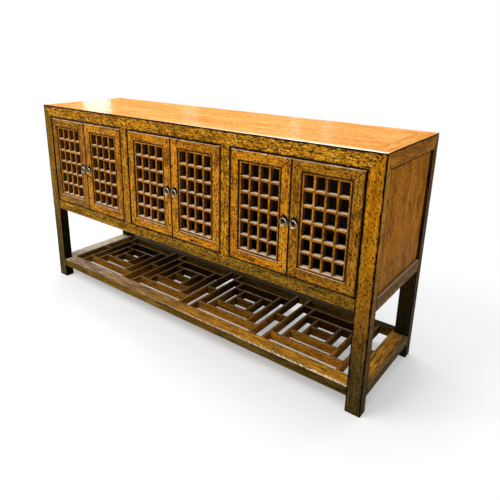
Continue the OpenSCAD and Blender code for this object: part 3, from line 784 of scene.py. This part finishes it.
# A row of bars along one axis; place and length are sockets that may follow the bar's index
def barRow(tree, given, axis, count, place, length, width, thick, steps, salt):
    whole = addNode(tree, "ShaderNodeCombineXYZ", None, {0: length, 1: width, 2: thick}).outputs[0]
    half = addNode(tree, "ShaderNodeVectorMath", {"operation": "MULTIPLY"}, {0: whole, 1: (0.5, 0.5, 0.5)}).outputs[0]
    seed = addNode(tree, "ShaderNodeMath", {"operation": "ADD"}, {0: given["Seed"], 1: float(salt)}).outputs[0]
    dice = addNode(tree, "FunctionNodeRandomValue", {"data_type": "FLOAT_VECTOR"},
                   {0: (-3.0, -3.0, -3.0), 1: (3.0, 3.0, 3.0), "Seed": seed}).outputs[0]
    noted = {"data_type": "FLOAT_VECTOR", "domain": "POINT"}
    points = addNode(tree, "GeometryNodePoints", None, {"Count": count, "Position": place}).outputs[0]
    for name, value in (("middle", place), ("half", half), ("dice", dice)):
        points = addNode(tree, "GeometryNodeStoreNamedAttribute", noted,
                         {"Geometry": points, "Name": name, "Value": value}).outputs[0]
    line = addNode(tree, "GeometryNodeCurvePrimitiveLine", None,
                   {"Start": (-0.5, 0.0, 0.0), "End": (0.5, 0.0, 0.0)}).outputs[0]
    line = addNode(tree, "GeometryNodeResampleCurve", None, {"Curve": line, "Count": steps}).outputs[0]
    outline = addNode(tree, "GeometryNodeCurvePrimitiveQuadrilateral", None,
                      {"Width": width, "Height": thick}).outputs[0]
    outline = addNode(tree, "GeometryNodeFilletCurve", {"mode": "POLY"},
                      {"Curve": outline, "Count": 3, "Radius": given["Rounding"]}).outputs[0]
    bar = addNode(tree, "GeometryNodeCurveToMesh", None,
                  {"Curve": line, "Profile Curve": outline, "Fill Caps": True}).outputs[0]
    turn = ((0.0, 0.0, 0.0), (0.0, 0.0, math.radians(90)), (0.0, math.radians(-90), 0.0))[axis]
    scale = addNode(tree, "ShaderNodeCombineXYZ", None, {0: length, 1: 1.0, 2: 1.0}).outputs[0]
    bars = addNode(tree, "GeometryNodeInstanceOnPoints", None,
                   {"Points": points, "Instance": bar, "Rotation": turn, "Scale": scale}).outputs[0]
    bars = addNode(tree, "GeometryNodeRealizeInstances", None, {"Geometry": bars}).outputs[0]
    middle = addNode(tree, "GeometryNodeInputNamedAttribute", {"data_type": "FLOAT_VECTOR"},
                     {"Name": "middle"}).outputs[0]
    local = addNode(tree, "ShaderNodeVectorMath", {"operation": "SUBTRACT"},
                    {0: addNode(tree, "GeometryNodeInputPosition").outputs[0], 1: middle}).outputs[0]
    parts = addNode(tree, "ShaderNodeSeparateXYZ", None, {0: local}).outputs
    order = ((0, 1, 2), (1, 0, 2), (2, 1, 0))[axis]
    turned = addNode(tree, "ShaderNodeCombineXYZ", None, {i: parts[order[i]] for i in range(3)}).outputs[0]
    return addNode(tree, "GeometryNodeStoreNamedAttribute", noted,
                   {"Geometry": bars, "Name": "grain", "Value": turned}).outputs[0]


def closeTree(tree, rows, material):
    joined = addNode(tree, "GeometryNodeJoinGeometry")
    for row in rows:
        tree.links.new(row, joined.inputs[0])
    real = addNode(tree, "GeometryNodeRealizeInstances", None, {"Geometry": joined.outputs[0]}).outputs[0]
    done = addNode(tree, "GeometryNodeSetMaterial", None, {"Geometry": real, "Material": material}).outputs[0]
    addNode(tree, "NodeGroupOutput", None, {0: done})
    return tree


# Doors: frames worn like the case, and lattices of upright and level bars inside the moulding's border
low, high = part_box("door_1_lattice")
latticeBorder, latticeSet, barsSet, latticeSteps = 19 * mm, 1.5 * mm, 13 * mm, 14
latticeSizes = {"Wide": high[0] - low[0] - latticeBorder, "High": high[2] - low[2] - latticeBorder,
                "Columns": 4, "Rows": 6, "Bar": 8.5 * mm, "Thick": 21 * mm, "Rounding": 2.4 * mm, "Seed": 0}


def latticeTree(sizes):
    tree, given = treeWithInputs("doorLattice", sizes)
    rows = []
    for axis, span, count, cross in ((2, "Wide", "Columns", "High"), (0, "High", "Rows", "Wide")):
        known = dict(given, index=addNode(tree, "GeometryNodeInputIndex").outputs[0])
        addSteps(tree, known, (
            ("run", "Math", "ADD", span, "Bar"),
            ("pitch", "Math", "DIVIDE", "run", count),
            ("halfRun", "Math", "MULTIPLY", "run", 0.5),
            ("first", "Math", "SUBTRACT", "pitch", "halfRun"),
            ("at", "Math", "MULTIPLY_ADD", "pitch", "index", "first"),
            ("bars", "Math", "SUBTRACT", count, 1.0),
        ))
        place = addNode(tree, "ShaderNodeCombineXYZ", None, {2 - axis: known["at"]}).outputs[0]
        rows.append(barRow(tree, given, axis, known["bars"], place, given[cross], given["Thick"], given["Bar"],
                           latticeSteps, 10 * len(rows)))
    return closeTree(tree, rows, given["Material"])


doorLattice = latticeTree(latticeSizes)
for number in range(1, 7):
    door = f"door_{number}"
    frameFinish = woods["russetLacquer" if number in (1, 6) else "orangeLacquer"]
    newPiece(door + "_frame", wornBoards(door + "_frame", doorLook, 100 + number), door,
             [frameFinish])
    low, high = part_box(door + "_lattice")
    face = low[1] - latticeSet
    moulding = mouldingMesh(low, high, face, mouldingLook, random.Random(200 + number))
    bars = grownMesh("bars", doorLattice, dict(latticeSizes, Seed=number), woods["dustAndSheenLacquer"])
    bars.transform(Matrix.Translation(((low[0] + high[0]) / 2, face + barsSet, (low[2] + high[2]) / 2)))
    newPiece(door + "_lattice", joinMeshes(door + "_lattice_worn", [moulding, bars]), door,
             [woods["dustAndSheenLacquer"], woods["plainLacquer"], woods["bareElm"]])
print("doors hung")

# Ring pulls, in millimetres: a dished plate, an eye on a pin, and the ring hanging in it
pullLook = {
    "plate": ((0, -1.0), (9.2, -0.9), (10.2, -1.35), (11.6, -1.4), (12.6, -1.0), (13.8, -0.95), (14.8, -0.5),
              (15.0, 0.0), (0, 0.0)),
    "pin": ((0, -4.4), (1.2, -4.4), (1.9, -3.6), (1.9, -1.6), (3.0, -1.3), (3.0, -0.9), (2.0, -0.9), (2.0, 23.5),
            (1.4, 24.0), (0, 24.0)),
    "plateDrop": 5, "eyeOut": 6.8, "eyeHole": 2.45, "eyeWall": 2.2, "eyeWide": 4.4,
    "ringRadius": 13, "wire": (1.3, 1.8), "wireSwell": 1.6, "pinch": 2.08, "wireTop": 2,
    "plateSteps": 48, "pinSteps": 20, "eyeSteps": (28, 12), "ringSteps": (48, 14),
    # where the ring is bright, rubbed by hands and painted as a highlight: angle from the top, spread, share
    "rubs": ((0.6, 0.75, 1.0), (6.5, 0.35, 1.0), (3.3, 0.6, 0.6)), "leastRub": 0.06,
}


# A closed ring round the Y axis (1) or the X axis (0); section gives its radius, width and depth at an angle
def ringMesh(name, centre, section, axis, counts):
    steps, sides = counts
    bm = bmesh.new()
    rub = bm.verts.layers.float.new("rub")
    rings = []
    for step in range(steps):
        angle = 2 * math.pi * step / steps
        radius, wide, deep = section(angle)
        bright = max(pullLook["leastRub"], *(share * math.exp(-((angle - at) / spread) ** 2)
                                             for at, spread, share in pullLook["rubs"]))
        ring = []
        for j in range(sides):
            turn = 2 * math.pi * j / sides
            out = radius + wide * math.cos(turn)
            side = deep * math.sin(turn)
            flat = (out * math.sin(angle), side, out * math.cos(angle))
            if axis == 0:
                flat = (side, out * math.sin(angle), out * math.cos(angle))
            ring.append(bm.verts.new([centre[i] + flat[i] * mm for i in range(3)]))
            ring[-1][rub] = bright
        rings.append(ring)
    for step in range(steps):
        here, there = rings[step], rings[(step + 1) % steps]
        for j in range(sides):
            k = (j + 1) % sides
            bm.faces.new((here[j], here[k], there[k], there[j]))
    bmesh.ops.recalc_face_normals(bm, faces=bm.faces)
    return finishMesh(bm, bpy.data.meshes.new(name))


def eyeSection(angle):
    return pullLook["eyeHole"] + pullLook["eyeWall"] / 2, pullLook["eyeWall"] / 2, pullLook["eyeWide"] / 2


# The ring is pinched to a soft point at the top, where its wire is thinnest
def ringSection(angle):
    thin, thick = pullLook["wire"]
    wire = thin + (thick - thin) * min(1, abs(math.sin(angle / 2)) * pullLook["wireSwell"])
    return pullLook["ringRadius"] - pullLook["pinch"] * math.sin(angle) ** 2 * max(0, math.cos(angle)), wire, wire


for number in range(1, 7):
    low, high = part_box(f"ring_{number}")
    top = Vector(((low[0] + high[0]) / 2, (low[1] + high[1]) / 2, high[2] - pullLook["wireTop"] * mm))
    face = top[1] + pullLook["eyeOut"] * mm
    plate = turnedMesh("plate", pullLook["plate"], (top[0], face, top[2] - pullLook["plateDrop"] * mm),
                       pullLook["plateSteps"])
    pin = turnedMesh("pin", pullLook["pin"], (top[0], face, top[2]), pullLook["pinSteps"])
    eye = ringMesh("eye", top, eyeSection, 0, pullLook["eyeSteps"])
    for side in eye.polygons:
        side.material_index = 1
    newPiece(f"door_{number}_pull", joinMeshes(f"door_{number}_pull_worn", [plate, pin, eye]), f"door_{number}",
             [metals["darkBrass"], metals["whiteBrass"]])
    centre = top - Vector((0, 0, pullLook["ringRadius"] * mm))
    ring = ringMesh(f"ring_{number}_worn", centre, ringSection, 1, pullLook["ringSteps"])
    newPiece(f"ring_{number}", ring, f"ring_{number}", [metals["whiteBrass"]])
print("pulls fitted")

# Shelf: nested squares of slats, all alike, grown from one rule. The slack keeps slats off each other's sides.
low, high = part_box("shelf_square_1")
slatSlack, slatSteps = 0.2 * mm, 16
squareSizes = {"Long": high[0] - low[0], "Deep": high[1] - low[1] + slatSlack, "Slat": 12 * mm,
               "Thick": high[2] - low[2], "Rounding": 1.6 * mm,
               "Gap X": 43 * mm, "Gap Y": 50 * mm, "Rings": 3, "Seed": 0}


def slatTree(sizes):
    tree, given = treeWithInputs("slatSquare", sizes)
    known = dict(given, index=addNode(tree, "GeometryNodeInputIndex").outputs[0])
    addSteps(tree, known, (
        # the ring of slats that an index belongs to, and its side, -1 or 1
        ("pair", "Math", "MULTIPLY_ADD", "index", 0.5, 0.01),
        ("ring", "Math", "FLOOR", "pair"),
        ("before", "Math", "MULTIPLY", "ring", 2.0),
        ("odd", "Math", "SUBTRACT", "index", "before"),
        ("side", "Math", "MULTIPLY_ADD", "odd", 2.0, -1.0),
        # how far in from the outer ring
        ("pitchX", "Math", "ADD", "Slat", "Gap X"),
        ("pitchY", "Math", "ADD", "Slat", "Gap Y"),
        ("goneX", "Math", "MULTIPLY", "ring", "pitchX"),
        ("goneY", "Math", "MULTIPLY", "ring", "pitchY"),
        # upright slats, from front to back
        ("clearX", "Math", "SUBTRACT", "Long", "Slat"),
        ("edgeX", "Math", "MULTIPLY", "clearX", 0.5),
        ("inX", "Math", "SUBTRACT", "edgeX", "goneX"),
        ("atX", "Math", "MULTIPLY", "inX", "side"),
        ("innerY", "Math", "SUBTRACT", "Deep", slatSlack),
        ("spanY", "Math", "MULTIPLY_ADD", "goneY", -2.0, "innerY"),
        # level slats, from left to right, with a single one in the middle
        ("clearY", "Math", "SUBTRACT", "Deep", "Slat"),
        ("halfY", "Math", "MULTIPLY", "clearY", 0.5),
        ("edgeY", "Math", "SUBTRACT", "halfY", "Gap Y"),
        ("inY", "Math", "SUBTRACT", "edgeY", "goneY"),
        ("sideY", "Math", "MULTIPLY", "inY", "side"),
        ("lastRing", "Math", "SUBTRACT", "Rings", 1.5),
        ("isPair", "Math", "LESS_THAN", "ring", "lastRing"),
        ("atY", "Math", "MULTIPLY", "sideY", "isPair"),
        ("innerX", "Math", "SUBTRACT", "Long", slatSlack),
        ("sidesX", "Math", "ADD", "goneX", "Slat"),
        ("spanX", "Math", "MULTIPLY_ADD", "sidesX", -2.0, "innerX"),
        ("countX", "Math", "MULTIPLY", "Rings", 2.0),
        ("countY", "Math", "SUBTRACT", "countX", 1.0),
    ))
    rows = []
    for axis, at, span, count in ((1, "atX", "spanY", "countX"), (0, "atY", "spanX", "countY")):
        place = addNode(tree, "ShaderNodeCombineXYZ", None, {1 - axis: known[at]}).outputs[0]
        rows.append(barRow(tree, given, axis, known[count], place, known[span], given["Slat"], given["Thick"],
                           slatSteps, 10 * len(rows)))
    return closeTree(tree, rows, given["Material"])


slatSquare = slatTree(squareSizes)
for number in range(1, 5):
    low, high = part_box(f"shelf_square_{number}")
    mesh = grownMesh(f"shelf_square_{number}_worn", slatSquare, dict(squareSizes, Seed=40 + number),
                     woods["darkStain"])
    mesh.transform(Matrix.Translation((low + high) / 2))
    newPiece(f"shelf_square_{number}", mesh, "case", [woods["darkStain"]])
print("shelf laid")

# Floor, lamps and the white room; the four windows only lend the polished top its bright reflections
stageLook = {
    "floor": "#fafafa", "floorHalf": 12, "floorGlow": 0.3, "shadowReach": (1.1, 2.2), "ambient": 0.62, "seen": 1.0,
    "lamps": {
        # name: place, point lit, width and height in metres, watts
        "key": ((-1.2, -2.6, 3.4), (0, 0, 0.5), (2.6, 2.6), 105),
        "top": ((0.2, 0.6, 3.6), (0, 0, 0.8), (2.4, 2.4), 50),
        "windowLeft": ((-3.0, 1.65, 1.26), (-0.6, -0.12, 0.9), (0.26, 0.42), 18),
        "windowFar": ((-2.2, 2.22, 1.28), (-0.16, 0.05, 0.9), (0.16, 0.42), 1.6),
        "windowMiddle": ((-1.1, 2.52, 1.36), (0.43, -0.02, 0.9), (0.08, 0.4), 1.6),
        "windowRight": ((-0.79, 2.59, 1.4), (0.57, -0.04, 0.9), (0.08, 0.4), 1.4),
    },
}


def addFloor(look):
    half = look["floorHalf"]
    mesh = bpy.data.meshes.new("floor")
    mesh.from_pydata([(-half, -half, 0), (half, -half, 0), (half, half, 0), (-half, half, 0)], [], [(0, 1, 2, 3)])
    floor = bpy.data.objects.new("floor", mesh)
    bpy.context.collection.objects.link(floor)
    floor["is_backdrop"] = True
    # Pale matt paint that keeps the object's shadow and turns to plain white further out
    material, tree = newMaterial("palePaint")
    paint = addNode(tree, "ShaderNodeBsdfDiffuse", None, {"Color": toLinear(look["floor"])}).outputs[0]
    glow = addNode(tree, "ShaderNodeEmission", None, {"Strength": 1.0}).outputs[0]
    rays = addNode(tree, "ShaderNodeLightPath").outputs
    place = addNode(tree, "ShaderNodeTexCoord").outputs["Object"]
    away = addNode(tree, "ShaderNodeVectorMath", {"operation": "LENGTH"}, {0: place}).outputs["Value"]
    near, far = look["shadowReach"]
    glowShare = addNode(tree, "ShaderNodeMapRange", {"interpolation_type": "SMOOTHSTEP"},
                        {"Value": away, "From Min": near, "From Max": far,
                         "To Min": look["floorGlow"], "To Max": 1.0}).outputs[0]
    share = addNode(tree, "ShaderNodeMath", {"operation": "MULTIPLY"},
                    {0: rays["Is Camera Ray"], 1: glowShare}).outputs[0]
    both = addNode(tree, "ShaderNodeMixShader", None, {0: share, 1: paint, 2: glow}).outputs[0]
    addNode(tree, "ShaderNodeOutputMaterial", None, {0: both})
    mesh.materials.append(material)


def addRoom(look):
    world = bpy.data.worlds.new("room")
    bpy.context.scene.world = world
    world.use_nodes = True
    tree = world.node_tree
    tree.nodes.clear()
    rays = addNode(tree, "ShaderNodeLightPath").outputs
    seen = rays["Is Camera Ray"]
    for ray in ("Is Glossy Ray", "Is Transmission Ray"):
        seen = addNode(tree, "ShaderNodeMath", {"operation": "ADD", "use_clamp": True},
                       {0: seen, 1: rays[ray]}).outputs[0]
    strength = addNode(tree, "ShaderNodeMapRange", None,
                       {"Value": seen, "To Min": look["ambient"], "To Max": look["seen"]}).outputs[0]
    sky = addNode(tree, "ShaderNodeBackground", None, {"Color": (1, 1, 1, 1), "Strength": strength}).outputs[0]
    addNode(tree, "ShaderNodeOutputWorld", None, {0: sky})


def addLamps(look):
    for name, (spot, aim, size, watts) in look["lamps"].items():
        lamp = bpy.data.lights.new(name, "AREA")
        lamp.shape = "RECTANGLE"
        lamp.size, lamp.size_y = size
        lamp.energy = watts
        holder = bpy.data.objects.new(name, lamp)
        holder.location = spot
        holder.rotation_euler = (Vector(aim) - holder.location).to_track_quat("-Z", "Y").to_euler()
        holder.visible_camera = False
        bpy.context.collection.objects.link(holder)


addFloor(stageLook)
addRoom(stageLook)
addLamps(stageLook)
print("stage lit")

low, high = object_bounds()
